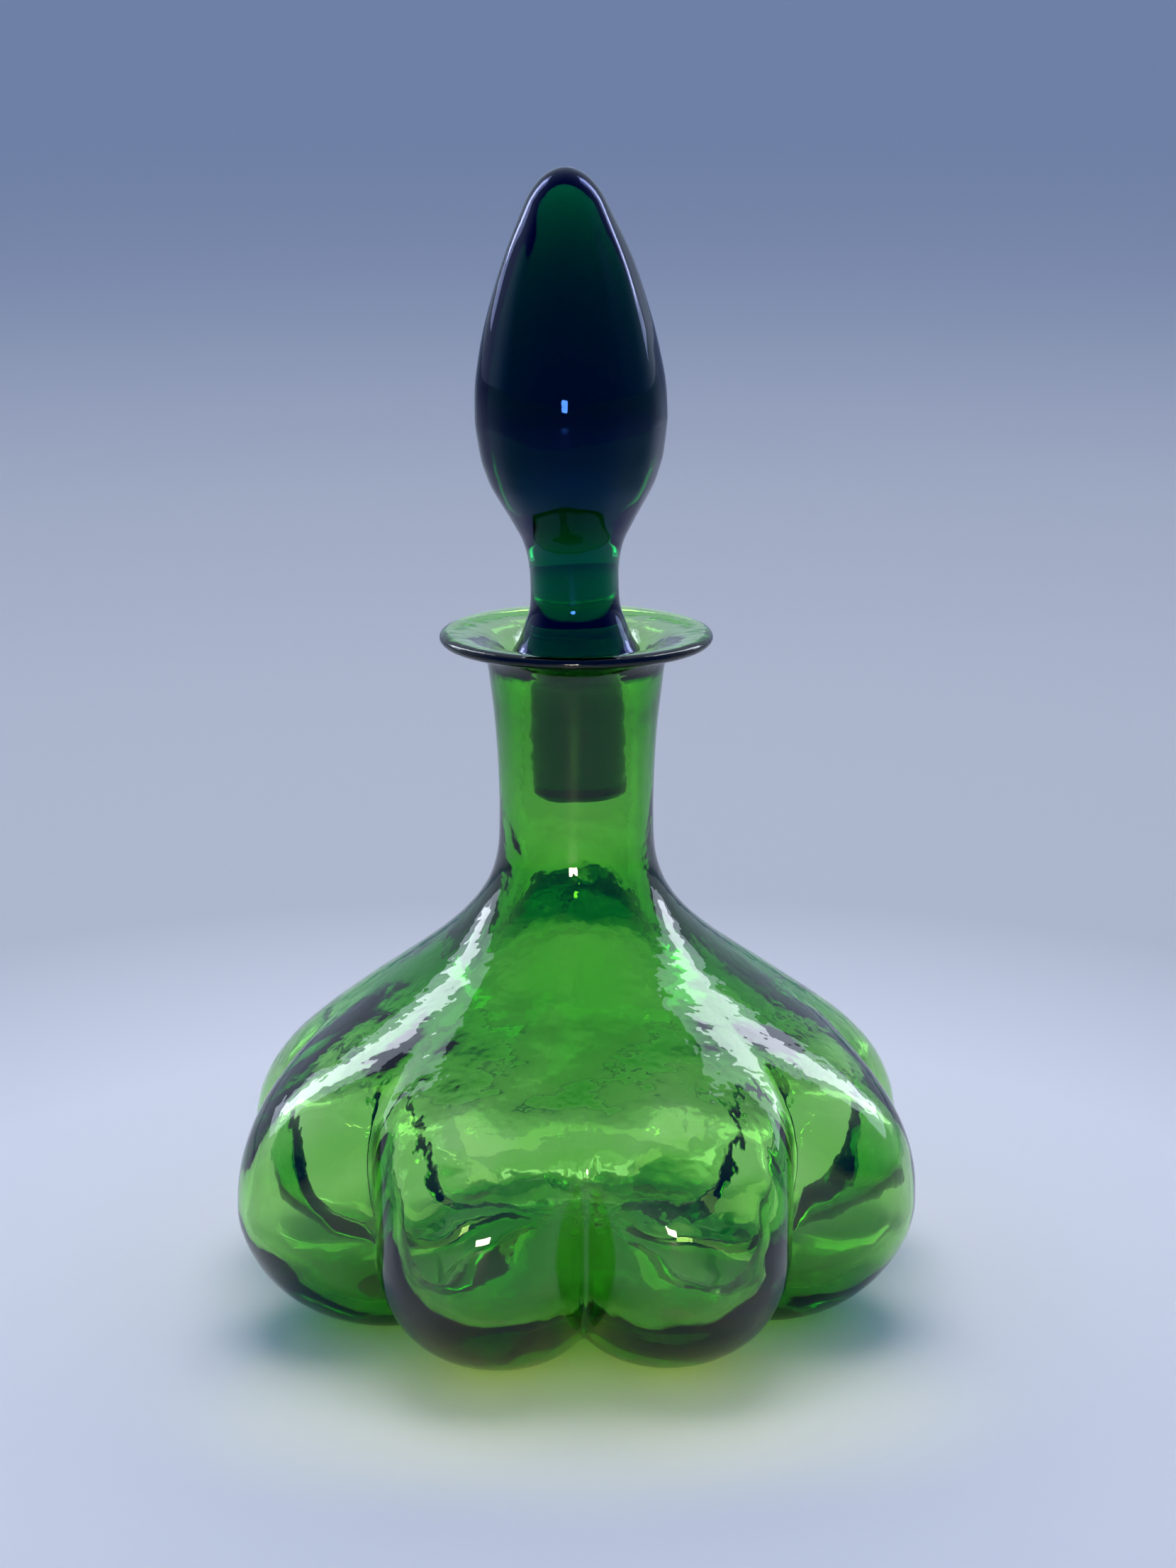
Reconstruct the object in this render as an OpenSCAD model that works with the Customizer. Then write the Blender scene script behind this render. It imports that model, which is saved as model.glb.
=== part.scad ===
// Lobed glass decanter with a drop stopper.
//
// The bottle is one piece of blown glass: a squat body of eight round lobes,
// a shoulder that sweeps up and in, a waisted neck and a wide flat lip.
// The stopper is one piece of solid glass: a teardrop finial on a slim waist,
// a flared collar that rests in the mouth, and a plain shank that hangs
// loose in the neck.
//
// Millimetres. +Z is up, z = 0 is the surface the bottle stands on, and the
// Z axis is the axis of the neck. One lobe lies on each side of the X and Y
// axes, so a groove faces +X, -X, +Y and -Y.

/* [Body] */
// Number of lobes round the body
lobe_count = 8; // [6:1:10]
// Radius from the axis to the crown of a lobe, at the widest height
body_r = 85.5; // [78:0.5:92]
// Height of the widest part above the table
belly_z = 30; // [26:1:36]
// How much fatter a lobe's circle is than one that just meets its neighbour
lobe_overlap = 1.14; // [1.08:0.01:1.3]
// Radius of the ring on which the lobes stand
foot_r = 54; // [46:1:60]
// Squareness of a lobe's underside, where 2 is a plain ellipse
foot_square = 1.8; // [1.6:0.1:2.4]
// Height of a groove's lower end above the table
groove_lift = 4; // [3:0.5:8]
// Height of the middle of the underside above the table
kick_up = 8; // [6:0.5:12]
// Depth of glass ground flat under each lobe
foot_flat = 0.5; // [0.3:0.1:0.7]

/* [Shoulder and neck] */
// Height of the narrowest part of the neck
waist_z = 120; // [116:1:126]
// Radius of the neck at its narrowest
neck_r = 18.4; // [17.6:0.1:20]
// Fullness of the upper side of a lobe
shoulder_swell = 2.55; // [2.2:0.05:2.9]
// How early the shoulder sweeps into the neck
neck_sweep = 3.55; // [3:0.05:4]
// Share of the shoulder's height at which the grooves have faded out
groove_fade = 0.8; // [0.7:0.01:0.86]
// How soon a groove gets shallow on its way up
groove_haste = 5.5; // [2:0.5:7]
// Radius of the bore through the neck
bore_r = 12.8; // [12.4:0.1:13.2]

/* [Lip] */
// Height of the top of the lip
lip_z = 164; // [160:1:170]
// Radius of the lip
lip_r = 32.4; // [29:0.2:36]
// Thickness of the lip at its rim
lip_t = 3; // [2.4:0.1:4]

/* [Glass] */
// Wall thickness of the body
wall = 3; // [2.4:0.1:3.6]
// Thickness of the base under the foot
base_t = 4.5; // [4:0.1:6]

/* [Stopper] */
// Radius of the shank that hangs in the neck
shank_r = 11.2; // [10:0.1:11.5]
// Length of the stopper below the top of the lip
shank_len = 39.5; // [30:0.5:44]
// Radius of the flared collar that rests in the mouth
collar_r = 15.2; // [15:0.1:15.4]
// Radius of the slim waist above the collar
stopper_waist_r = 10.5; // [9:0.1:12]
// Largest radius of the teardrop
drop_r = 22.5; // [20:0.5:25]
// Height of the tip above the lip
drop_h = 108.4; // [100:0.2:116]
// Radius of the rounded tip
tip_r = 9.2; // [8.4:0.1:10]
// Angle at which the loose stopper leans in the mouth
stopper_lean = 1.3; // [0:0.1:1.4]

/* [Hidden] */

round_fn = 64;
glass_green = [0.13, 0.45, 0.16, 0.75];
stopper_green = [0.02, 0.16, 0.15, 0.95];

// Points round the body: an even number to each lobe, so that every crown
// and every groove falls on a point.
per_lobe = 10;
around = lobe_count * per_lobe;
half_lobe = 180 / lobe_count;

// Rings up the shoulder, under the belly and across the underside.
shoulder_rings = 12;
belly_rings = 7;
base_rings = 5;

// The body's shell stops here and the neck takes over. The grooves have
// faded out by this height, so both are round.
join_z = belly_z + 0.87 * (waist_z - belly_z);
// Where the shell's last ring stands once the foot is ground.
shell_top = join_z - foot_flat;
// The neck's foot covers the shell's last ring by this much, up the height
// and inward.
lap = 0.5;
skin = 0.35;

// The mouth: the collar rests in a funnel a little below the lip.
seat_z = lip_z - 5.4;

// ---- Curves --------------------------------------------------------------

// A lobe's outline. Each lobe is a circle set off from the axis, and this is
// the distance to it at an angle from its crown, for a crown at radius 1.
lobe_offset = 1 / (1 + lobe_overlap * sin(half_lobe));
lobe_circle = 1 - lobe_offset;
function lobe_reach(a) =
    lobe_offset * cos(a) + sqrt(pow(lobe_circle, 2) - pow(lobe_offset * sin(a), 2));
groove_ratio = lobe_reach(half_lobe);

// Angle from the nearest crown, for point number i round the body.
function from_crown(i) = (i % per_lobe) * 360 / around - half_lobe;

// How far out from the groove a point stands: 1 on a crown, 0 in a groove.
// The outside has sharp valleys between full lobes.
function crown_outside(i) =
    (lobe_reach(abs(from_crown(i))) - groove_ratio) / (1 - groove_ratio);
// The inside, where the glass flowed, is smoother.
function crown_inside(i) =
    pow((1 + cos(from_crown(i) * lobe_count)) / 2, 0.6);

// Radius of the shoulder. u is 0 at the belly and 1 at the neck's waist.
function shoulder(u, r_low, r_top) =
    r_top + (r_low - r_top) * pow(1 - pow(min(u, 1), shoulder_swell), neck_sweep);

// What is left of a groove's depth at that height. The grooves are deep at
// the belly and only a faint fold over the shoulder.
function groove_left(u) = pow(1 - pow(min(u / groove_fade, 1), 2), groove_haste);

// Radius of the neck's outside above its waist.
function neck_outside(z) =
    z < waist_z
        ? shoulder((z - belly_z) / (waist_z - belly_z), body_r, neck_r)
        : neck_r + 2.5 * pow((z - waist_z) / 35, 1.9);

// One side of the glass, as rings of [crown r, crown z, groove r, groove z].
// r is the crown's radius at the belly, top_r the neck's, top_z the height of
// the neck's waist, foot the foot's radius, floor_z the height that the foot
// stands at, lift the groove's extra height there and kick the middle's.
function shoulder_ring(z, r, top_r, top_z) =
    let (u = (z - belly_z) / (top_z - belly_z))
    let (crown = shoulder(u, r, top_r))
    let (groove = crown * (1 - (1 - groove_ratio) * groove_left(u)))
    [crown, z, groove, z];

function belly_ring(t, r, foot, floor_z, lift) =
    let (out = pow(cos(t), 2 / foot_square))
    let (down = 1 - pow(sin(t), 2 / foot_square))
    let (groove_foot = foot * 0.8)
    [
        foot + (r - foot) * out,
        floor_z + (belly_z - floor_z) * down,
        groove_foot + (r * groove_ratio - groove_foot) * out,
        floor_z + lift + (belly_z - floor_z - lift) * down
    ];

function base_ring(s, foot, floor_z, lift, kick) =
    let (rise = (1 - cos(180 * s)) / 2)
    [
        foot * (1 - s),
        floor_z + kick * rise,
        foot * 0.8 * (1 - s),
        floor_z + lift + (kick - lift) * rise
    ];

function glass_side(z_start, r, top_r, top_z, foot, floor_z, lift, kick) = concat(
    [for (k = [0 : shoulder_rings - 1])
        shoulder_ring(z_start + (belly_z - z_start) * k / shoulder_rings, r, top_r, top_z)],
    [for (k = [0 : belly_rings - 1])
        belly_ring(90 * k / belly_rings, r, foot, floor_z, lift)],
    [for (k = [0 : base_rings - 1])
        base_ring(k / base_rings, foot, floor_z, lift, kick)]
);

// A point of a ring, between its groove and its crown.
// The foot is ground away below z = 0, so the glass starts that much lower.
function ring_point(ring, i, crown) =
    let (a = i * 360 / around)
    let (r = ring[2] + (ring[0] - ring[2]) * crown)
    let (z = ring[3] + (ring[1] - ring[3]) * crown)
    [r * cos(a), r * sin(a), z - foot_flat];

// Two triangles for each step round a pair of rings.
function band(first, second) = [
    for (i = [0 : around - 1])
        let (j = (i + 1) % around)
        each [
            [first + i, first + j, second + j],
            [first + i, second + j, second + i]
        ]
];

// A fan that closes the last ring on a single point.
function fan(ring_start, tip) = [
    for (i = [0 : around - 1])
        [ring_start + i, ring_start + (i + 1) % around, tip]
];

// ---- Bottle --------------------------------------------------------------

module body_shell() {
    outside = glass_side(join_z, body_r, neck_r, waist_z, foot_r, 0, groove_lift, kick_up);
    inside = glass_side(join_z, body_r - wall, bore_r, waist_z - wall,
        foot_r - wall, base_t, groove_lift, kick_up);
    n = len(outside);
    points = concat(
        [for (ring = outside) for (i = [0 : around - 1])
            ring_point(ring, i, crown_outside(i))],
        [[0, 0, kick_up - foot_flat]],
        [for (ring = inside) for (i = [0 : around - 1])
            ring_point(ring, i, crown_inside(i))],
        [[0, 0, base_t + kick_up - foot_flat]]
    );
    in_start = n * around + 1;
    faces = concat(
        [for (k = [0 : n - 2]) each band(k * around, (k + 1) * around)],
        fan((n - 1) * around, n * around),
        [for (k = [0 : n - 2]) for (f = band(in_start + k * around, in_start + (k + 1) * around))
            [f[2], f[1], f[0]]],
        [for (f = fan(in_start + (n - 1) * around, in_start + n * around))
            [f[2], f[1], f[0]]],
        band(in_start, 0)
    );
    polyhedron(points = points, faces = faces, convexity = 10);
}

// The neck with its lip, as one turned profile round the bore.
module neck_and_lip() {
    low_z = shell_top - lap;
    edge_r = lip_t / 2;
    rim_z = lip_z - edge_r;
    in_low = shoulder((low_z - belly_z) / (waist_z - wall - belly_z), body_r - wall, bore_r);
    outer = [for (k = [0 : 12])
        let (z = low_z + (lip_z - 9 - low_z) * k / 12)
        [neck_outside(z), z]];
    // The underside of the lip turns out of the neck on a small round.
    root_r = neck_outside(lip_z - 9);
    root = [for (a = [15 : 15 : 75])
        [root_r + 5 * (1 - cos(a)), lip_z - 9 + 5 * sin(a)]];
    edge = [for (a = [-90 : 22.5 : 90])
        [lip_r - edge_r + edge_r * cos(a), rim_z + edge_r * sin(a)]];
    // The top dips gently, then runs down into the mouth.
    mouth = [
        [24.5, lip_z - 0.9],
        [22, lip_z - 1.4],
        [19.6, lip_z - 2.4],
        [17.6, lip_z - 3.8],
        [16.2, seat_z],
        [15.4, seat_z - 1.6],
        [bore_r + 1.5, seat_z - 3.6],
        [bore_r + 0.5, seat_z - 6.5],
        [bore_r, seat_z - 10]
    ];
    inner = [
        [bore_r, waist_z],
        [(bore_r + in_low) / 2 - skin, (waist_z + low_z) / 2 - 2],
        [in_low - skin, low_z]
    ];
    rotate_extrude($fn = round_fn)
        polygon(concat(outer, root, edge, mouth, inner));
}

module bottle() {
    color(glass_green)
        difference() {
            union() {
                body_shell();
                neck_and_lip();
            }
            // The wheel that grinds the undersides of the lobes flat.
            translate([-body_r * 1.5, -body_r * 1.5, -20])
                cube([body_r * 3, body_r * 3, 20]);
        }
}

// ---- Stopper -------------------------------------------------------------

// Heights are above the top of the lip. The shank is a plain taper with an
// eased end, and the collar swells out of its top.
shank_points = [
    [0, -shank_len],
    [shank_r - 1.2, -shank_len],
    [shank_r - 0.5, -shank_len + 0.8],
    [shank_r, -12],
    [shank_r + 0.7, -9],
    [shank_r + 2, -7],
    [collar_r - 0.3, -5.7],
    [collar_r, -5.1]
];

// The finial: the collar's bell, the waist and the teardrop, as shares of the
// finial's height and of the span between the waist and the widest part.
bell = collar_r - stopper_waist_r;
drop = drop_r - stopper_waist_r;
finial_stations = [
    [-5.1, collar_r],
    [-2, stopper_waist_r + 0.64 * bell],
    [1.4, stopper_waist_r + 0.36 * bell],
    [5, stopper_waist_r + 0.1 * bell],
    [9.5, stopper_waist_r],
    [0.14 * drop_h, stopper_waist_r],
    [0.17 * drop_h, stopper_waist_r + 0.04 * drop],
    [0.2 * drop_h, stopper_waist_r + 0.13 * drop],
    [0.24 * drop_h, stopper_waist_r + 0.32 * drop],
    [0.29 * drop_h, stopper_waist_r + 0.58 * drop],
    [0.34 * drop_h, stopper_waist_r + 0.79 * drop],
    [0.41 * drop_h, stopper_waist_r + 0.95 * drop],
    [0.48 * drop_h, drop_r],
    [0.56 * drop_h, stopper_waist_r + 0.95 * drop],
    [0.65 * drop_h, stopper_waist_r + 0.8 * drop],
    [0.75 * drop_h, stopper_waist_r + 0.54 * drop],
    [0.84 * drop_h, stopper_waist_r + 0.25 * drop],
    [0.905 * drop_h, stopper_waist_r + 0.005 * drop],
    [drop_h - tip_r * (1 - sin(24)), tip_r * cos(24)]
];

// A smooth curve through the stations.
function smooth_step(p0, p1, p2, p3, t) =
    0.5 * (2 * p1 + (p2 - p0) * t + (2 * p0 - 5 * p1 + 4 * p2 - p3) * t * t
        + (3 * p1 - p0 - 3 * p2 + p3) * t * t * t);
function smooth_curve(s, steps) = [
    for (k = [0 : len(s) - 2]) for (j = [0 : steps - 1])
        smooth_step(s[max(k - 1, 0)], s[k], s[k + 1], s[min(k + 2, len(s) - 1)], j / steps)
];

// The rounded end of the drop, from the last station to the tip.
nose = [for (a = [24 : 11 : 79])
    [tip_r * cos(a), drop_h - tip_r * (1 - sin(a))]];

module stopper() {
    profile = concat(
        shank_points,
        [for (p = smooth_curve(finial_stations, 2)) if (p[0] > -5) [p[1], p[0]]],
        nose,
        [[0, drop_h]]
    );
    color(stopper_green)
        translate([0, 0, seat_z])
            rotate([0, -stopper_lean, 0])
                translate([0, 0, lip_z - seat_z])
                    rotate_extrude($fn = round_fn)
                        polygon(profile);
}

bottle();
stopper();
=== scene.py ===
# %% [markdown]
# # A lobed glass decanter with a drop stopper
#
# Two pieces of green glass: a mould-blown bottle with eight round lobes, and
# a solid stopper shaped like a drop. Glass shows every surface of the object
# at once, front and back, outside and inside. So the work here is less in
# colour than in shape: both faces of the wall are modelled, with the small
# waves that blown glass keeps, and the colour comes from how far light
# travels through the glass.
#
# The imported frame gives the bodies, the nodes and the true size. Everything
# below is in metres, in that frame.

import math

import bpy
import numpy as np
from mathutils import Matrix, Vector


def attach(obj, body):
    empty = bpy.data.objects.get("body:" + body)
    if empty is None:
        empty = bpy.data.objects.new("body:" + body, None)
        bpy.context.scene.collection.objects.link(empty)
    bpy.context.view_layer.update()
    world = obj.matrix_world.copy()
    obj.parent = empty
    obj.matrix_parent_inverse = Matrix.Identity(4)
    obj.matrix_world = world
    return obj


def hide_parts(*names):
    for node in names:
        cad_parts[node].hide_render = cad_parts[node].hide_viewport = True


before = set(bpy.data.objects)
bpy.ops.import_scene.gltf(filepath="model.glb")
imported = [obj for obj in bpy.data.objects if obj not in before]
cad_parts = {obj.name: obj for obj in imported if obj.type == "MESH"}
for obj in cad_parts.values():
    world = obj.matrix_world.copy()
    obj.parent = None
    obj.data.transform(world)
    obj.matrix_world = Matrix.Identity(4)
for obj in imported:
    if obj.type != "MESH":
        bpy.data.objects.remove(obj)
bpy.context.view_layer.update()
MM = 0.001

# %% [markdown]
# ## The camera
#
# The view is a little above the shoulder of the bottle, looking down at it.
# It could be aimed with a constraint, but one rotation worked out once is
# simpler and stays put when the view is moved later. A long lens, 83 mm on
# a 36 mm sensor, keeps the sides of the neck upright.

# %% Camera
AIM = Vector((0.0028, 0.0, 0.1263))
CAMERA_DISTANCE = 0.865
CAMERA_PITCH = math.radians(14.4)
CAMERA_TURN = math.radians(2.0)
LENS = 83.0
SENSOR_WIDTH = 36.0

camera_data = bpy.data.cameras.new("camera")
camera_data.lens = LENS
camera_data.sensor_width = SENSOR_WIDTH
camera_data.clip_start = 0.01
camera = bpy.data.objects.new("camera", camera_data)
bpy.context.scene.collection.objects.link(camera)
towards_camera = Vector((
    -math.sin(CAMERA_TURN) * math.cos(CAMERA_PITCH),
    -math.cos(CAMERA_TURN) * math.cos(CAMERA_PITCH),
    math.sin(CAMERA_PITCH),
))
camera.location = AIM + CAMERA_DISTANCE * towards_camera
camera.rotation_mode = "QUATERNION"
camera.rotation_quaternion = (-towards_camera).to_track_quat("-Z", "Y")
bpy.context.scene.camera = camera
print("camera at", [round(c, 3) for c in camera.location])

# %% [markdown]
# ## The outline of the lobes
#
# Seen from above, each lobe is a circle set off from the axis, and the
# circles meet in sharp valleys. One could model one lobe and copy it round,
# but the lobes of a blown bottle run into one skin. So the body is a grid:
# points round it, and rings up it. Every ring knows its radius and height on
# a crown and in a groove, and each point round the ring lies somewhere
# between the two.

# %% Points round the body
LOBES = 8
PER_LOBE = 32
AROUND = LOBES * PER_LOBE
HALF_LOBE = math.pi / LOBES
OVERLAP = 1.14
LOBE_OFFSET = 1 / (1 + OVERLAP * math.sin(HALF_LOBE))
LOBE_CIRCLE = 1 - LOBE_OFFSET


def lobe_reach(angle):
    """Distance to a lobe's circle, at an angle from its crown."""
    side = LOBE_OFFSET * np.sin(angle)
    return LOBE_OFFSET * np.cos(angle) + np.sqrt(LOBE_CIRCLE ** 2 - side ** 2)


# The points crowd a little towards the grooves, where the glass turns fast.
step = (np.arange(AROUND) % PER_LOBE) / PER_LOBE * 2 - 1
from_crown = HALF_LOBE * (1.25 * step - 0.25 * step ** 3)
lobe_number = np.arange(AROUND) // PER_LOBE
angle_round = from_crown + HALF_LOBE * (2 * lobe_number + 1)

GROOVE_RATIO = float(lobe_reach(HALF_LOBE))


def crown_share(valley):
    """1 on a crown, 0 in a groove. The groove's bottom is rounded over that many radians."""
    from_groove = np.sqrt((HALF_LOBE - np.abs(from_crown)) ** 2 + valley ** 2) - valley
    full_way = math.sqrt(HALF_LOBE ** 2 + valley ** 2) - valley
    reach = lobe_reach(HALF_LOBE * (1 - from_groove / full_way))
    return (reach - GROOVE_RATIO) / (1 - GROOVE_RATIO)


# The mould cuts a sharp valley outside. Inside, the glass flowed and it is blunt.
SHARP_VALLEY, BLUNT_VALLEY = 0.018, 0.075
crown_outside = crown_share(SHARP_VALLEY)
crown_inside = crown_share(BLUNT_VALLEY)
print("points round:", AROUND, "groove at", round(GROOVE_RATIO, 3), "of the crown's radius")

# %% [markdown]
# ## The rings of the bottle
#
# One closed path makes the whole wall: out from the middle of the underside,
# up the outside, over the lip, down the bore and back along the inside to
# the middle of the base. A solidify modifier could give the wall its
# thickness, but blown glass is not even: it is thick in the base, the
# grooves and the neck, and thin over the lobes. So the inside is its own
# curve.

# %% The bottle's curves
# All in mm. A wall height is where the outside is; the inside is set in from it.
BODY_R = 85.5
BELLY_Z = 30.0
FOOT_R = 54.0
GROOVE_FOOT = 0.8
FOOT_SQUARE = 1.8
GROOVE_LIFT = 4.0
KICK_UP = 8.0
FOOT_FLAT = 0.5
WAIST_Z = 120.0
NECK_R = 18.4
SWELL = 2.55
SWEEP = 3.55
GROOVE_FADE = 0.8
GROOVE_HASTE = 5.5
BORE_R = 12.8
LIP_Z = 164.0
LIP_R = 32.4
INNER_FOOT_R = 50.0
INNER_GROOVE = 0.76
BASE_T = 6.4
NECK_FLARE = 2.5
# The wall is thin where the bubble of glass was blown furthest, over the belly,
# and thickest where the shoulder turns into the neck.
WALL_AT = [(BELLY_Z, 2.3), (52, 2.3), (63, 3.0), (73, 6.6), (82, 10.6), (92, 10.4), (104, 7.4),
           (WAIST_Z, NECK_R - BORE_R)]


def shoulder(u, r_low, r_top):
    """Radius of the shoulder, from the belly at u = 0 to the waist of the neck at u = 1."""
    return r_top + (r_low - r_top) * (1 - np.clip(u, 0, 1) ** SWELL) ** SWEEP


def groove_left(u):
    """How much of the groove's depth is left, that far up the shoulder."""
    return (1 - np.clip(u / GROOVE_FADE, 0, 1) ** 2) ** GROOVE_HASTE


def shoulder_rings(z, thickness, groove_ratio):
    """Rings of the shoulder, set in from its outside by that thickness."""
    crown = shoulder((z - BELLY_Z) / (WAIST_Z - BELLY_Z), BODY_R, NECK_R)
    slope = np.gradient(crown, z)
    tilt = np.sqrt(1 + slope ** 2)
    crown, z = crown - thickness / tilt, z + thickness * slope / tilt
    groove = crown * (1 - (1 - groove_ratio) * groove_left((z - BELLY_Z) / (WAIST_Z - BELLY_Z)))
    return np.stack([crown, z, groove, z], 1)


def belly_rings(t, r, foot, floor_z, lift, groove_ratio):
    """Rings from the belly, t = 0, round the heel to the foot, t = a quarter turn."""
    out = np.cos(t) ** (2 / FOOT_SQUARE)
    down = 1 - np.sin(t) ** (2 / FOOT_SQUARE)
    groove_foot = foot * GROOVE_FOOT
    return np.stack([
        foot + (r - foot) * out,
        floor_z + (BELLY_Z - floor_z) * down,
        groove_foot + (r * groove_ratio - groove_foot) * out,
        floor_z + lift + (BELLY_Z - floor_z - lift) * down,
    ], 1)


def base_rings(s, foot, floor_z, lift, kick):
    """Rings from the foot, s = 0, in to the middle of the kicked-up base, s = 1."""
    rise = (1 - np.cos(math.pi * s)) / 2
    return np.stack([
        foot * (1 - s),
        floor_z + kick * rise,
        foot * GROOVE_FOOT * (1 - s),
        floor_z + lift + (kick - lift) * rise,
    ], 1)


def smooth_through(points, steps):
    """A smooth curve through the points (Catmull-Rom), without its last point."""
    p = np.array(points, float)
    p = np.vstack([2 * p[0] - p[1], p, 2 * p[-1] - p[-2]])
    t = np.linspace(0, 1, steps, endpoint=False)[:, None]
    parts = []
    for a, b, c, d in zip(p, p[1:], p[2:], p[3:]):
        parts.append(0.5 * (2 * b + (c - a) * t + (2 * a - 5 * b + 4 * c - d) * t ** 2
                            + (3 * b - a - 3 * c + d) * t ** 3))
    return np.vstack(parts)


# %% [markdown]
# The neck is waisted: it widens again towards the lip. The lip is a wide
# flat flange with a fire-rounded edge, and its top falls gently to the mouth,
# which is a small funnel that the stopper's collar sits in.

# %% The rings in order
LIP_POINTS = [
    (20.9, 155.0), (21.5, 157.2), (23.0, 159.3), (25.6, 160.5), (28.6, 160.9),
    (30.9, 161.05), (32.0, 161.6), (LIP_R, 162.5), (32.0, 163.45), (30.9, 163.95),
    (28.8, 163.8), (26.3, 163.35), (23.8, 162.9), (21.4, 162.2), (19.3, 160.9),
    (17.6, 159.4), (16.3, 158.0), (15.2, 156.4), (14.3, 154.8), (13.5, 152.2), (13.0, 149.0),
]


def turned(points):
    """Rings that are round: the groove's place is the crown's."""
    p = np.array(points, float)
    return np.hstack([p, p])


def bottle_rings():
    """Rings of the outside, from the middle of the base to the lip, and of the inside, back."""
    neck_z = np.linspace(WAIST_Z, 155.0, 16, endpoint=False)
    neck = np.stack([NECK_R + NECK_FLARE * ((neck_z - WAIST_Z) / 35) ** 1.9, neck_z], 1)
    bore_z = np.linspace(149.0, WAIST_Z, 18, endpoint=False)
    bore = np.stack([BORE_R + 0.2 * ((bore_z - WAIST_Z) / 29) ** 4, bore_z], 1)
    up = np.linspace(BELLY_Z, WAIST_Z, 84, endpoint=False)
    down = np.linspace(WAIST_Z, BELLY_Z, 72, endpoint=False)
    thickness = np.interp(down, *zip(*WALL_AT))
    thickness = np.convolve(np.pad(thickness, 4, "edge"), np.ones(9) / 9, "valid")
    quarter = math.pi / 2
    outside = np.vstack([
        base_rings(np.linspace(0.96, 0, 20, endpoint=False), FOOT_R, 0, GROOVE_LIFT, KICK_UP),
        belly_rings(np.linspace(quarter, 0, 36, endpoint=False), BODY_R, FOOT_R, 0, GROOVE_LIFT,
                    GROOVE_RATIO),
        shoulder_rings(up, 0, GROOVE_RATIO),
        turned(neck),
        turned(smooth_through(LIP_POINTS[:10], 3)),
    ])
    inside = np.vstack([
        turned(smooth_through(LIP_POINTS[9:], 3)),
        turned(bore),
        shoulder_rings(down, thickness, INNER_GROOVE),
        belly_rings(np.linspace(0, quarter, 30, endpoint=False), BODY_R - WALL_AT[0][1],
                    INNER_FOOT_R, BASE_T, GROOVE_LIFT, INNER_GROOVE),
        base_rings(np.linspace(0, 0.96, 18), INNER_FOOT_R, BASE_T, GROOVE_LIFT, KICK_UP),
    ])
    return outside, inside


outside, inside = bottle_rings()
print("rings outside and inside:", len(outside), len(inside))

# %% [markdown]
# ## Waves in the glass
#
# Blown glass is never true. The mould chills its outside into faint ripples,
# and the inside, which touched only air, keeps slow swells. A displace
# modifier with a noise texture would do it, but a sum of plain waves in
# random directions can be given its wavelength in millimetres, and its
# height too. The random directions are seeded, so the bottle is the same one
# every time.


# %% Ripples with a real wavelength
def ripple(points, wavelength, seed, waves=40, stretch=(1, 1, 1)):
    """A smooth random field over points in mm, with a spread of 1 and that wavelength."""
    rng = np.random.default_rng(seed)
    direction = rng.normal(size=(waves, 3))
    direction /= np.linalg.norm(direction, axis=1)[:, None]
    length = wavelength * rng.uniform(0.75, 1.35, waves)
    phase = rng.uniform(0, 2 * math.pi, waves)
    turns = (points / np.array(stretch)) @ (direction / length[:, None]).T * 2 * math.pi
    return np.cos(turns + phase).sum(-1) * math.sqrt(2 / waves)


def between(x, low, high):
    """0 below low, 1 above high, and a smooth step from one to the other."""
    t = np.clip((x - low) / (high - low), 0, 1)
    return t * t * (3 - 2 * t)


def grid_normals(grid):
    """The outward direction at each point of a grid of rings."""
    along = np.gradient(grid, axis=0)
    round_it = np.roll(grid, -1, 1) - np.roll(grid, 1, 1)
    normal = np.cross(round_it, along)
    return normal / np.maximum(np.linalg.norm(normal, axis=-1), 1e-9)[..., None]


# %% [markdown]
# Each lobe of the mould is cut by hand as well, so no two stand out quite
# alike: one is a millimetre fuller and another a millimetre flatter.

# %% Shape the wall
# Fuller or flatter, in mm, from the lobe right of +X round to the last.
LOBE_FULLNESS = np.array([0.5, 0.7, -0.3, -1.2, 0.8, 0.2, 0.0, -0.2])


def wall_grid(rings, crown):
    """Points of the wall, as rings x points x 3, in mm."""
    r = rings[:, 2, None] + (rings[:, 0] - rings[:, 2])[:, None] * crown
    z = rings[:, 3, None] + (rings[:, 1] - rings[:, 3])[:, None] * crown
    body = between(rings[:, 0], 45, 72)[:, None] * (rings[:, 1] < WAIST_Z)[:, None]
    r = r + body * LOBE_FULLNESS[lobe_number] * crown
    return np.stack([r * np.cos(angle_round), r * np.sin(angle_round), z], -1)


def wavy(grid, is_inside):
    """The same wall with its waves, pushed along its own normals."""
    normal = grid_normals(grid)
    radius = np.hypot(grid[..., 0], grid[..., 1])
    height = grid[..., 2]
    # Waves die away at the foot, the lip and the middle of the base.
    free = between(radius, 8, 20) * (1 - between(height, 148, 156))
    if is_inside:
        depth = 0.30 * ripple(grid, 28, 3) + 0.07 * ripple(grid, 11, 4)
        # Where the neck was pinched and shaped, the inside is crinkled.
        pinched = between(height, 96, 106) * (1 - between(height, 122, 132))
        depth = depth + 0.38 * pinched * ripple(grid, 5.5, 8, stretch=(1.3, 1.3, 0.8))
    else:
        free = free * between(height, 4, 12)
        depth = 0.10 * ripple(grid, 34, 5) + 0.02 * ripple(grid, 9, 6)
    slim = 0.45 + 0.55 * between(radius, 18, 34)
    return grid + normal * (depth * free * slim)[..., None]


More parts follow.
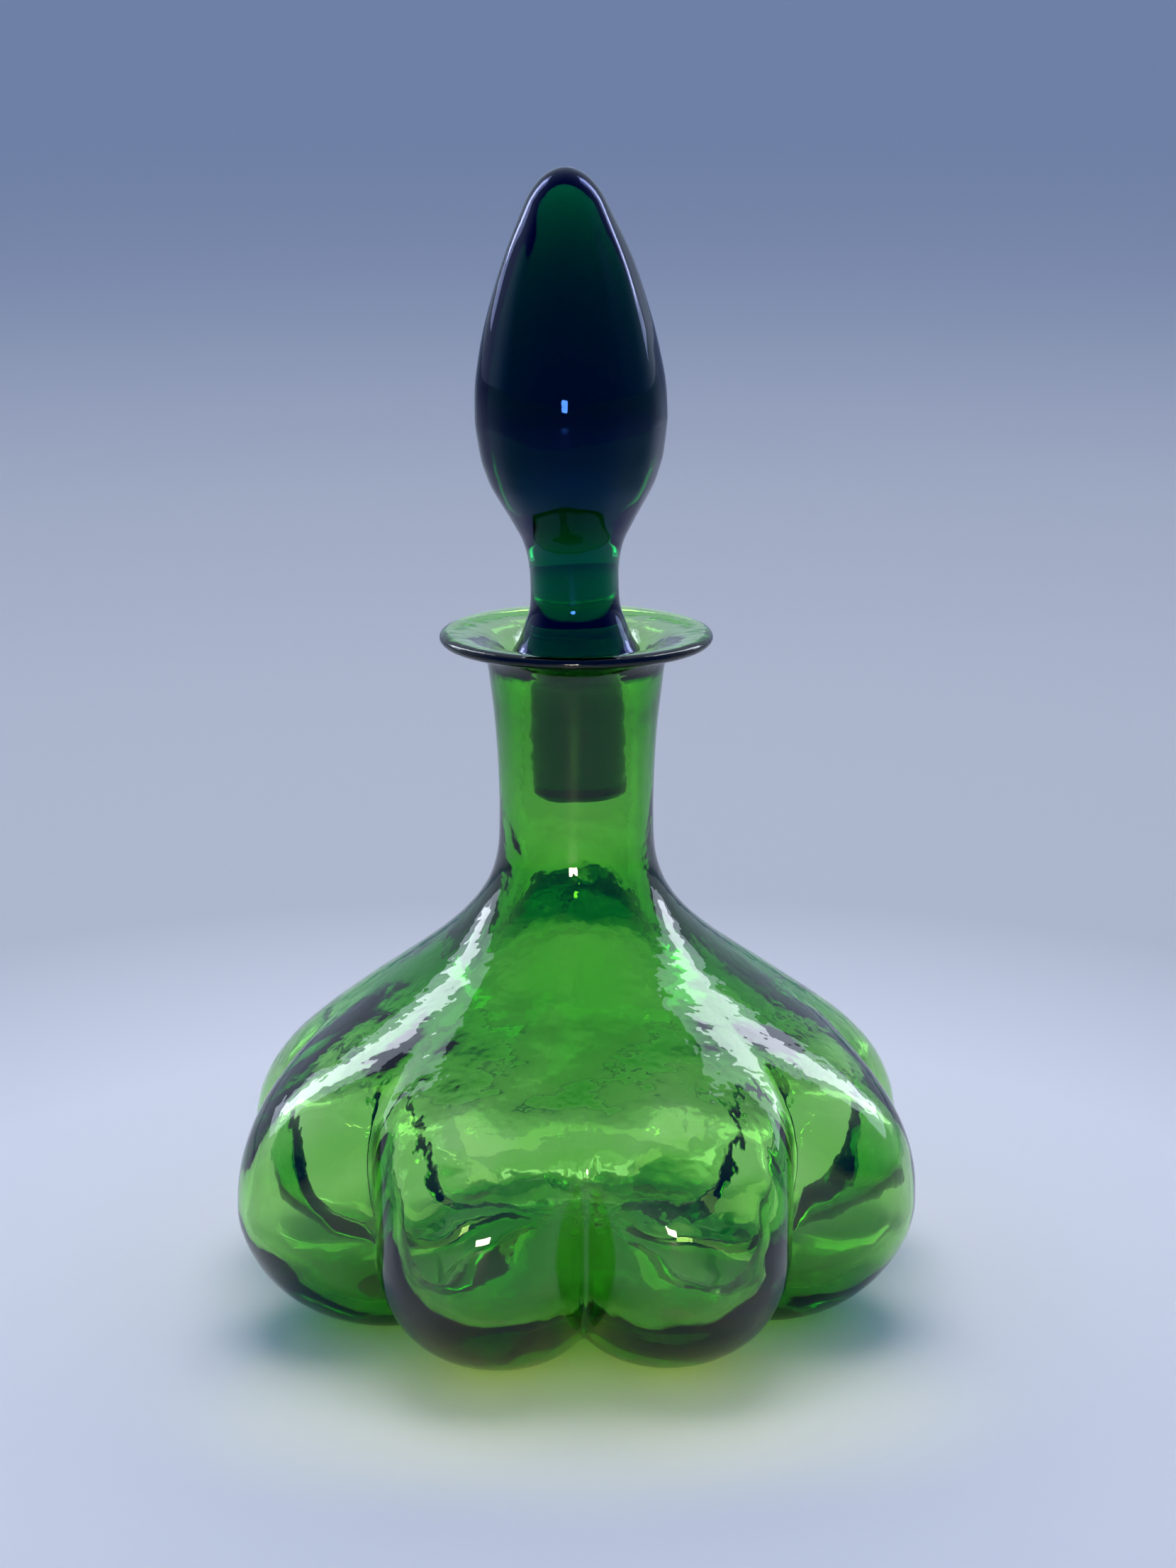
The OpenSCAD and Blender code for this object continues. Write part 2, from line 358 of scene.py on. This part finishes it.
outer_wall = wavy(wall_grid(outside, crown_outside), False)
inner_wall = wavy(wall_grid(inside, crown_inside), True)
wall = np.vstack([outer_wall, inner_wall])
# The bottle stands on lobes that are ground flat: it is let down a little, and cut at 0.
wall[..., 2] = np.maximum(wall[..., 2] - FOOT_FLAT * (1 - between(wall[..., 2], 100, 118)), 0)
print("the wall has", wall.shape[0] * wall.shape[1], "points")


# %% [markdown]
# ## From grid to mesh
#
# A grid becomes faces by joining each ring to the next. The two ends are
# closed with a fan on a single point, so the mesh has no hole: light that
# enters the glass must be able to leave it.


# %% Mesh from a grid of rings
def closed_mesh(name, grid):
    """A closed mesh from rings in mm, fanned to a point at each end."""
    rings, around = grid.shape[:2]
    points = np.vstack([
        grid.reshape(-1, 3),
        [[0, 0, grid[0, :, 2].mean()]],
        [[0, 0, grid[-1, :, 2].mean()]],
    ]) * MM
    here = np.arange(rings - 1)[:, None] * around + np.arange(around)
    nxt = np.arange(rings - 1)[:, None] * around + (np.arange(around) + 1) % around
    quads = np.stack([here, nxt, nxt + around, here + around], -1).reshape(-1, 4)
    first, last = rings * around, rings * around + 1
    side = np.arange(around)
    turn = (side + 1) % around
    fan_low = np.stack([turn, side, np.full(around, first)], 1)
    top = (rings - 1) * around
    fan_high = np.stack([top + side, top + turn, np.full(around, last)], 1)
    mesh = bpy.data.meshes.new(name)
    mesh.from_pydata(points.tolist(), [], quads.tolist() + fan_low.tolist() + fan_high.tolist())
    mesh.shade_smooth()
    mesh.validate()
    return mesh


def show(name, mesh):
    piece = bpy.data.objects.new(name, mesh)
    bpy.context.scene.collection.objects.link(piece)
    return piece


bottle = show("decanter", closed_mesh("decanter", wall))
print("decanter:", len(bottle.data.polygons), "faces")

# %% [markdown]
# ## The stopper
#
# The stopper is solid: a drop-shaped finial, a slim waist, a collar that
# flares to rest in the mouth, and a plain shank below it. A cone and a sphere
# would be a quick stand-in, but the drop's line never stops curving, so it is
# one outline turned about the axis. It was pressed and then pulled, which left
# faint flutes up the drop that fade at the waist. It is loose, so it leans.

# %% The stopper's outline
SEAT_Z = 158.6
LEAN = math.radians(1.3)
# Height above the lip and radius, in mm.
STOPPER_POINTS = [
    (-39.6, 3.0), (-39.5, 7.6), (-39.1, 9.9), (-38.1, 10.9), (-36.0, 11.1), (-26.0, 11.15),
    (-14.0, 11.2), (-10.4, 11.6), (-7.6, 12.7), (-5.9, 14.5), (-4.9, 15.15),
    (-3.7, 14.5), (-2.0, 13.5), (1.4, 12.15), (4.8, 10.95), (7.6, 10.55), (11.0, 10.45),
    (15.1, 10.56), (18.5, 11.05), (21.9, 12.1), (25.2, 13.8), (28.6, 15.65), (32.0, 17.6),
    (35.3, 19.3), (38.7, 20.5), (42.0, 21.42), (48.7, 22.37), (52.0, 22.5), (58.7, 22.18),
    (65.3, 21.15), (71.9, 19.79), (78.4, 17.95), (84.9, 15.83), (91.5, 13.31), (97.9, 10.59),
    (101.2, 9.12), (102.8, 8.22), (104.4, 7.08), (106.0, 5.6), (107.2, 4.0), (107.95, 2.4),
    (108.3, 1.1), (108.38, 0.45), (108.4, 0.15),
]
STOPPER_AROUND = 128

profile = smooth_through(STOPPER_POINTS, 4)
turn_angle = np.arange(STOPPER_AROUND) * 2 * math.pi / STOPPER_AROUND


def stopper_grid():
    """Rings of the upright stopper, in mm from the top of the lip."""
    z, r = profile[:, 0, None], profile[:, 1, None]
    on_drop = between(z, 22, 45) * (1 - between(z, 86, 104))
    flutes = 0.16 * np.cos(11 * turn_angle + 0.3) + 0.12 * np.cos(5 * turn_angle + 1.1)
    r = r + flutes * on_drop
    grid = np.stack([r * np.cos(turn_angle), r * np.sin(turn_angle), z + 0 * r], -1)
    swell = 0.10 * ripple(grid, 30, 11) * between(z, 12, 24) * (1 - between(z, 92, 104))
    return grid + grid_normals(grid) * swell[..., None]


upright = stopper_grid() + np.array([0, 0, LIP_Z - SEAT_Z])
x, z = upright[..., 0], upright[..., 2]
leaning = np.stack([
    x * math.cos(LEAN) - z * math.sin(LEAN),
    upright[..., 1],
    x * math.sin(LEAN) + z * math.cos(LEAN) + SEAT_Z,
], -1)
stopper = show("drop_stopper", closed_mesh("drop_stopper", leaning))
print("stopper:", len(stopper.data.polygons), "faces")

# %% [markdown]
# ## Glass
#
# The real thing is soda-lime glass coloured in the pot with iron and chrome.
# Clear glass bends light by 1.52, and its surface, fire-polished or chilled
# on a mould, is almost perfectly smooth. The green is in the depth, not on
# the face: red and blue light die away within a few millimetres and green
# goes much further. So the surface is colourless, and a volume takes off so
# much of each colour for every metre travelled. That gives a pale green rim
# and a dark green heel with one setting.


# %% Helpers for materials
def linear(code):
    """A linear colour from sRGB hex."""
    parts = [int(code[i:i + 2], 16) / 255 for i in (1, 3, 5)]
    plain = [c / 12.92 if c <= 0.04045 else ((c + 0.055) / 1.055) ** 2.4 for c in parts]
    return tuple(plain) + (1.0,)


def add_node(tree, kind, settings=None, **links):
    """Adds a node. Settings name attributes or sockets; links name sockets that another feeds."""
    node = tree.nodes.new(kind)
    for key, value in (settings or {}).items():
        if key in node.inputs:
            node.inputs[key].default_value = value
        else:
            setattr(node, key, value)
    for key, source in links.items():
        tree.links.new(source, node.inputs[key.replace("_", " ")])
    return node


def new_material(name):
    """An empty node material, and its tree."""
    material = bpy.data.materials.new(name)
    material.use_nodes = True
    material.node_tree.nodes.clear()
    return material, material.node_tree


# %% Green soda-lime glass
GLASS_IOR = 1.52
FIRE_POLISH = 0.012
CORD_WIDTH_MM = 7


def green_glass(name, taken_per_metre, ripple_mm, ripple_depth_mm, cord_depth_mm, gloss):
    """Glass that takes off that much red, green and blue per metre."""
    material, tree = new_material(name)
    place = add_node(tree, "ShaderNodeTexCoord")
    # Chill ripples, a few millimetres across.
    fine = add_node(tree, "ShaderNodeTexNoise",
                    {"Scale": 1 / (ripple_mm * MM), "Detail": 1.5, "Roughness": 0.45},
                    Vector=place.outputs["Object"])
    # They are strongest over the shoulder, which met the mould last and coolest,
    # from a height of 62 mm up.
    axes = add_node(tree, "ShaderNodeSeparateXYZ", Vector=place.outputs["Object"])
    cool = add_node(tree, "ShaderNodeMapRange",
                    {"From Min": 42 * MM, "From Max": 62 * MM, "To Min": 0.25, "To Max": 1.0},
                    Value=axes.outputs["Z"])
    dents = add_node(tree, "ShaderNodeBump", {"Distance": ripple_depth_mm * MM},
                     Strength=cool.outputs["Result"], Height=fine.outputs["Fac"])
    # Cords: faint upright streaks where the melt was not quite mixed.
    upright_place = add_node(tree, "ShaderNodeMapping", {"Scale": (1, 1, 0.16)},
                             Vector=place.outputs["Object"])
    cords = add_node(tree, "ShaderNodeTexNoise",
                     {"Scale": 1 / (CORD_WIDTH_MM * MM), "Detail": 1.0},
                     Vector=upright_place.outputs["Vector"])
    surface = add_node(tree, "ShaderNodeBump",
                       {"Strength": 1.0, "Distance": cord_depth_mm * MM},
                       Height=cords.outputs["Fac"], Normal=dents.outputs["Normal"])
    # Absorption is density times (1 - colour), so the strongest one sets the density.
    most = max(taken_per_metre)
    glass = add_node(tree, "ShaderNodeBsdfPrincipled",
                     {"Base Color": (1, 1, 1, 1), "Roughness": FIRE_POLISH, "IOR": GLASS_IOR,
                      "Transmission Weight": 1.0, **gloss},
                     Normal=surface.outputs["Normal"])
    depth = add_node(tree, "ShaderNodeVolumeAbsorption",
                     {"Color": tuple(1 - t / most for t in taken_per_metre) + (1.0,),
                      "Density": most})
    add_node(tree, "ShaderNodeOutputMaterial",
             Surface=glass.outputs["BSDF"], Volume=depth.outputs["Volume"])
    return material


# The stopper's face mirrors the room more strongly and bluer than the bottle's: it is
# what the eye sees of it, because no light gets through 45 mm of dark glass.
bottle_glass = green_glass("soda_lime_glass_mould_blown_green", (165, 41, 265),
                           3.6, 0.12, 0.08, {})
stopper_glass = green_glass("soda_lime_glass_pressed_dark_green", (420, 115, 200),
                            9.0, 0.05, 0.10,
                            {"Specular IOR Level": 1.0, "Specular Tint": linear("#3a70ff")})
bottle.data.materials.append(bottle_glass)
stopper.data.materials.append(stopper_glass)
print("glass:", bottle_glass.name, stopper_glass.name)

# %% [markdown]
# ## Floor, backdrop and light
#
# Clear glass shows its surroundings, so the studio is part of the look. The
# floor is matt paint, pale by the bottle and cool grey from a hand's breadth
# away. An environment picture would light all of it at once, but then nothing
# could be placed. So each light has one task. A wide panel overhead lights the
# floor. Two tall panels behind, with a dim glow round each, stand for windows
# and draw the white streaks over the shoulders. A small lamp on the camera's
# side gives the sparkle.

# %% Floor
PALE_FLOOR = "#eceff4"
COOL_GREY = "#c6cad0"
FLOOR_SIZE = 40.0
# Distances from the middle of the bottle at which the paint turns, in metres.
PALE_TO, GREY_FROM = 0.19, 0.34


def make_floor():
    mesh = bpy.data.meshes.new("floor")
    corners = [(-1, -1), (1, -1), (1, 1), (-1, 1)]
    mesh.from_pydata([(x * FLOOR_SIZE, y * FLOOR_SIZE, 0) for x, y in corners], [], [(0, 1, 2, 3)])
    floor = show("floor", mesh)
    material, tree = new_material("matt_paint_pale")
    place = add_node(tree, "ShaderNodeTexCoord")
    distance = add_node(tree, "ShaderNodeVectorMath", {"operation": "LENGTH"})
    tree.links.new(place.outputs["Object"], distance.inputs[0])
    ramp = add_node(tree, "ShaderNodeValToRGB")
    tree.links.new(distance.outputs["Value"], ramp.inputs["Fac"])
    ramp.color_ramp.elements[0].position = PALE_TO
    ramp.color_ramp.elements[0].color = linear(PALE_FLOOR)
    ramp.color_ramp.elements[1].position = GREY_FROM
    ramp.color_ramp.elements[1].color = linear(COOL_GREY)
    paint = add_node(tree, "ShaderNodeBsdfPrincipled", {"Roughness": 0.6},
                     Base_Color=ramp.outputs["Color"])
    add_node(tree, "ShaderNodeOutputMaterial", Surface=paint.outputs["BSDF"])
    mesh.materials.append(material)
    return floor


floor = make_floor()
print("floor paint:", PALE_FLOOR, "to", COOL_GREY)

# %% [markdown]
# The air of the studio is light behind the bottle and deep blue on the
# camera's side. The dark side is what the dark stopper mirrors, so it turns
# navy. This is a gradient along Y, as a painted backdrop would be.

# %% The studio's air
world = bpy.data.worlds.new("studio")
bpy.context.scene.world = world
world.use_nodes = True
world.node_tree.nodes.clear()
sky = world.node_tree
look = add_node(sky, "ShaderNodeTexCoord")
axes = add_node(sky, "ShaderNodeSeparateXYZ", Vector=look.outputs["Generated"])
behind = add_node(sky, "ShaderNodeMapRange",
                  {"From Min": -0.35, "From Max": 0.55, "interpolation_type": "SMOOTHSTEP"},
                  Value=axes.outputs["Y"])
shade = add_node(sky, "ShaderNodeMix", {"data_type": "RGBA"})
shade.inputs[6].default_value = linear("#2452a6")
shade.inputs[7].default_value = linear("#b0c1d9")
sky.links.new(behind.outputs["Result"], shade.inputs[0])
air = add_node(sky, "ShaderNodeBackground", {"Strength": 1.0}, Color=shade.outputs[2])
add_node(sky, "ShaderNodeOutputWorld", Surface=air.outputs["Background"])
print("studio air set")


# %% Soft panels
HEART = Vector((0, 0, 0.07))
DAYLIGHT, SKYLIGHT, WARM_WHITE, LAMPLIGHT = "#eef4ff", "#dfeaff", "#fff8e8", "#ffe9cf"


def around_bottle(azimuth, elevation, distance):
    """A place as seen from the bottle, in degrees from +Y towards +X, and in degrees up."""
    a, e = math.radians(azimuth), math.radians(elevation)
    return distance * Vector((math.sin(a) * math.cos(e), math.cos(a) * math.cos(e), math.sin(e)))


def soft_panel(name, direction, width, height, power, colour):
    """A panel turned to the bottle. Its direction is azimuth, elevation and distance."""
    data = bpy.data.lights.new(name, "AREA")
    data.shape = "RECTANGLE"
    data.size, data.size_y = width, height
    data.energy = power
    data.color = linear(colour)[:3]
    panel = bpy.data.objects.new(name, data)
    bpy.context.scene.collection.objects.link(panel)
    panel.location = HEART + around_bottle(*direction)
    panel.rotation_mode = "QUATERNION"
    panel.rotation_quaternion = (HEART - panel.location).to_track_quat("-Z", "Y")
    panel.visible_camera = False
    return panel


windows = [
    soft_panel("tall_window_left", (-50, 34, 1.65), 0.22, 1.0, 5, DAYLIGHT),
    soft_panel("tall_window_right", (56, 36, 1.65), 0.22, 1.3, 6, DAYLIGHT),
    soft_panel("left_window_glow", (-52, 33, 1.6), 0.52, 1.25, 5, SKYLIGHT),
    soft_panel("right_window_glow", (58, 35, 1.6), 0.52, 1.5, 6, SKYLIGHT),
]
overhead = soft_panel("overhead", (0, 72, 1.7), 1.2, 1.2, 17, WARM_WHITE)
# It lights the floor, but a mirror image of it would wash out the shoulder.
overhead.visible_glossy = False

# %% [markdown]
# Thin green glass throws a pale yellow-green glow on the floor in front of it.
# Light that is bent through glass onto a floor takes a path tracer very long
# to find, so part of the glow is laid there by three soft spots from above.

# %% Glow on the floor, and the lamp
CAST_COLOUR = "#fff870"
CAST_HEIGHT = 0.6
CAST_WATTS = 2.6


def cast_light(name, x, y):
    """A spot straight down on that place on the floor, in mm, without a shadow."""
    data = bpy.data.lights.new(name, "SPOT")
    data.spot_size, data.spot_blend, data.shadow_soft_size = math.radians(10), 1.0, 0.02
    data.energy = CAST_WATTS
    data.color = linear(CAST_COLOUR)[:3]
    data.use_shadow = False
    spot = bpy.data.objects.new(name, data)
    bpy.context.scene.collection.objects.link(spot)
    spot.location = (x * MM, y * MM, CAST_HEIGHT)
    spot.visible_glossy = spot.visible_transmission = False


cast_light("cast_front", 0, -84)
cast_light("cast_left", -44, -76)
cast_light("cast_right", 44, -76)
lamp = soft_panel("desk_lamp", (-173, 5, 2.2), 0.40, 0.20, 16, LAMPLIGHT)
# The windows and the lamp are there for their mirror images, so they don't light the floor.
for panel in windows + [lamp]:
    panel.visible_diffuse = False

# %% [markdown]
# The default view transform greys strong greens, so the plain one is used.

# %% View and light paths
bpy.context.scene.view_settings.view_transform = "Standard"
# Light must pass four walls of glass and the stopper before it is given up.
bpy.context.scene.cycles.max_bounces = 24
bpy.context.scene.cycles.transmission_bounces = 24
bpy.context.scene.cycles.glossy_bounces = 8
print("bounces:", bpy.context.scene.cycles.max_bounces)

# %% [markdown]
# ## Joining the pieces to the frame
#
# Each piece rides on its own body, so the stopper lifts out of the neck, and
# stands for the plain solid of the same name.

# %% Ride, replace, finish
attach(bottle, "bottle")
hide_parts("bottle")
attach(stopper, "stopper")
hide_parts("stopper")
